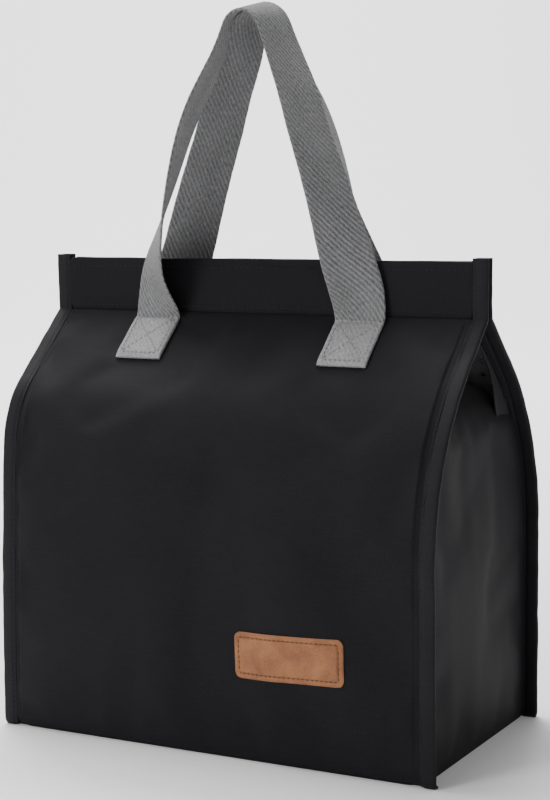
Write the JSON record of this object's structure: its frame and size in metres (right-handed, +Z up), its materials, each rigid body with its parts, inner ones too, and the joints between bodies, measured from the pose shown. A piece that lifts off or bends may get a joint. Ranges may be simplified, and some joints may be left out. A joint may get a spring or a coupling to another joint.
{
  "type": "insulated cooler bag",
  "caption": "Soft insulated cooler bag with gable roofs closing into a flat hook and loop collar, folding side gussets, foil lining and two webbing carrying loops.",
  "frame": {"origin": "centre of the base, on the surface the bag stands on", "axes": "+X to the bag's right as seen from the front, front panel faces -Y, +Z up"},
  "size_m": [0.28, 0.1504, 0.4175],
  "materials": {
    "outer_fabric": "black woven Oxford polyester, matte",
    "binding": "black folded seam binding with topstitching",
    "webbing": "grey melange twill webbing",
    "lining_foil": "metallised film, crinkled satin silver",
    "foam": "closed-cell foam",
    "facing_tape": "black facing fabric",
    "hook_and_loop": "black hook and loop pile",
    "label_leather": "tan leather patch with darker burnished edge",
    "thread_tan": "tan sewing thread",
    "thread_grey": "grey sewing thread"
  },
  "bodies": {
    "box": {"front_shell": "outer_fabric", "back_shell": "outer_fabric", "left_shell": "outer_fabric", "right_shell": "outer_fabric", "base_shell": "outer_fabric", "front_foam": "foam", "back_foam": "foam", "left_foam": "foam", "right_foam": "foam", "base_foam": "foam", "front_lining": "lining_foil", "back_lining": "lining_foil", "left_lining": "lining_foil", "right_lining": "lining_foil", "base_lining": "lining_foil", "front_edge_bindings": "binding", "back_edge_bindings": "binding", "label": "label_leather", "label_stitching": "thread_tan"},
    "front_roof": {"front_roof_shell": "outer_fabric", "front_roof_foam": "foam", "front_roof_lining": "lining_foil", "front_roof_bindings": "binding", "front_handle_ends": "webbing", "front_handle_stitching": "thread_grey"},
    "front_collar": {"front_collar_shell": "outer_fabric", "front_collar_facing": "facing_tape", "front_collar_bindings": "binding", "hook_tape": "hook_and_loop"},
    "front_handle": {"front_handle": "webbing"},
    "back_roof": {"back_roof_shell": "outer_fabric", "back_roof_foam": "foam", "back_roof_lining": "lining_foil", "back_roof_bindings": "binding", "back_handle_ends": "webbing", "back_handle_stitching": "thread_grey"},
    "back_collar": {"back_collar_shell": "outer_fabric", "back_collar_facing": "facing_tape", "back_collar_bindings": "binding", "loop_tape": "hook_and_loop"},
    "back_handle": {"back_handle": "webbing"},
    "left_gusset_fold": {"left_gusset_fold": "outer_fabric"},
    "left_front_gusset_wing": {"left_front_gusset_wing": "outer_fabric"},
    "left_front_collar_wing": {"left_front_collar_wing": "outer_fabric"},
    "left_back_gusset_wing": {"left_back_gusset_wing": "outer_fabric"},
    "left_back_collar_wing": {"left_back_collar_wing": "outer_fabric"},
    "right_gusset_fold": {"right_gusset_fold": "outer_fabric"},
    "right_front_gusset_wing": {"right_front_gusset_wing": "outer_fabric"},
    "right_front_collar_wing": {"right_front_collar_wing": "outer_fabric"},
    "right_back_gusset_wing": {"right_back_gusset_wing": "outer_fabric"},
    "right_back_collar_wing": {"right_back_collar_wing": "outer_fabric"}
  },
  "joints": [
    {"name": "mouth_open", "type": "hinge", "parent": "box", "child": "front_roof", "pos_m": [0, -0.074, 0.187], "axis": [1, 0, 0], "range_deg": [0, 52.49]},
    {"name": "front_collar_upright", "type": "hinge", "parent": "front_roof", "child": "front_collar", "pos_m": [0, -0.003, 0.24149], "axis": [1, 0, 0], "range_deg": [-52.49, 0]},
    {"name": "back_roof_open", "type": "hinge", "parent": "box", "child": "back_roof", "pos_m": [0, 0.074, 0.187], "axis": [-1, 0, 0], "range_deg": [0, 52.49]},
    {"name": "back_collar_upright", "type": "hinge", "parent": "back_roof", "child": "back_collar", "pos_m": [0, 0.003, 0.24149], "axis": [-1, 0, 0], "range_deg": [-52.49, 0]},
    {"name": "left_gusset_unfold", "type": "hinge", "parent": "box", "child": "left_gusset_fold", "pos_m": [-0.131, 0, 0.187], "axis": [0, -1, 0], "range_deg": [0, 52.49], "deforming": ["left_gusset_fold"]},
    {"name": "right_gusset_unfold", "type": "hinge", "parent": "box", "child": "right_gusset_fold", "pos_m": [0.131, 0, 0.187], "axis": [0, 1, 0], "range_deg": [0, 52.49], "deforming": ["right_gusset_fold"]},
    {"name": "left_front_wing_unfold", "type": "hinge", "parent": "front_roof", "child": "left_front_gusset_wing", "pos_m": [-0.1305, -0.07138, 0.18359], "axis": [0, 0.7933, 0.6088], "range_deg": [0, 90.01], "deforming": ["left_front_gusset_wing"]},
    {"name": "left_front_strip_unfold", "type": "hinge", "parent": "front_collar", "child": "left_front_collar_wing", "pos_m": [-0.1305, -0.0008, 0.24149], "axis": [0, 0, 1], "range_deg": [0, 90.01], "deforming": ["left_front_collar_wing"]},
    {"name": "left_back_wing_unfold", "type": "hinge", "parent": "back_roof", "child": "left_back_gusset_wing", "pos_m": [-0.1305, 0.07138, 0.18359], "axis": [0, 0.7933, -0.6088], "range_deg": [0, 90.01], "deforming": ["left_back_gusset_wing"]},
    {"name": "left_back_strip_unfold", "type": "hinge", "parent": "back_collar", "child": "left_back_collar_wing", "pos_m": [-0.1305, 0.0008, 0.24149], "axis": [0, 0, -1], "range_deg": [0, 90.01], "deforming": ["left_back_collar_wing"]},
    {"name": "right_front_wing_unfold", "type": "hinge", "parent": "front_roof", "child": "right_front_gusset_wing", "pos_m": [0.1305, -0.07138, 0.18359], "axis": [0, -0.7933, -0.6088], "range_deg": [0, 90.01], "deforming": ["right_front_gusset_wing"]},
    {"name": "right_front_strip_unfold", "type": "hinge", "parent": "front_collar", "child": "right_front_collar_wing", "pos_m": [0.1305, -0.0008, 0.24149], "axis": [0, 0, -1], "range_deg": [0, 90.01], "deforming": ["right_front_collar_wing"]},
    {"name": "right_back_wing_unfold", "type": "hinge", "parent": "back_roof", "child": "right_back_gusset_wing", "pos_m": [0.1305, 0.07138, 0.18359], "axis": [0, -0.7933, 0.6088], "range_deg": [0, 90.01], "deforming": ["right_back_gusset_wing"]},
    {"name": "right_back_strip_unfold", "type": "hinge", "parent": "back_collar", "child": "right_back_collar_wing", "pos_m": [0.1305, 0.0008, 0.24149], "axis": [0, 0, 1], "range_deg": [0, 90.01], "deforming": ["right_back_collar_wing"]},
    {"name": "front_handle_swing", "type": "hinge", "parent": "front_roof", "child": "front_handle", "pos_m": [0, -0.00822, 0.23925], "axis": [1, 0, 0], "range_deg": [0, 85]},
    {"name": "back_handle_swing", "type": "hinge", "parent": "back_roof", "child": "back_handle", "pos_m": [0, 0.00822, 0.23925], "axis": [-1, 0, 0], "range_deg": [0, 85]}
  ],
  "couplings": [
    {"joint": "front_collar_upright", "follows": "mouth_open", "ratio": -1},
    {"joint": "back_roof_open", "follows": "mouth_open", "ratio": 1},
    {"joint": "back_collar_upright", "follows": "mouth_open", "ratio": -1},
    {"joint": "left_gusset_unfold", "follows": "mouth_open", "ratio": 1},
    {"joint": "right_gusset_unfold", "follows": "mouth_open", "ratio": 1},
    {"joint": "left_front_wing_unfold", "follows": "mouth_open", "ratio": 1.7144},
    {"joint": "left_front_strip_unfold", "follows": "mouth_open", "ratio": 1.7144},
    {"joint": "left_back_wing_unfold", "follows": "mouth_open", "ratio": 1.7144},
    {"joint": "left_back_strip_unfold", "follows": "mouth_open", "ratio": 1.7144},
    {"joint": "right_front_wing_unfold", "follows": "mouth_open", "ratio": 1.7144},
    {"joint": "right_front_strip_unfold", "follows": "mouth_open", "ratio": 1.7144},
    {"joint": "right_back_wing_unfold", "follows": "mouth_open", "ratio": 1.7144},
    {"joint": "right_back_strip_unfold", "follows": "mouth_open", "ratio": 1.7144}
  ]
}
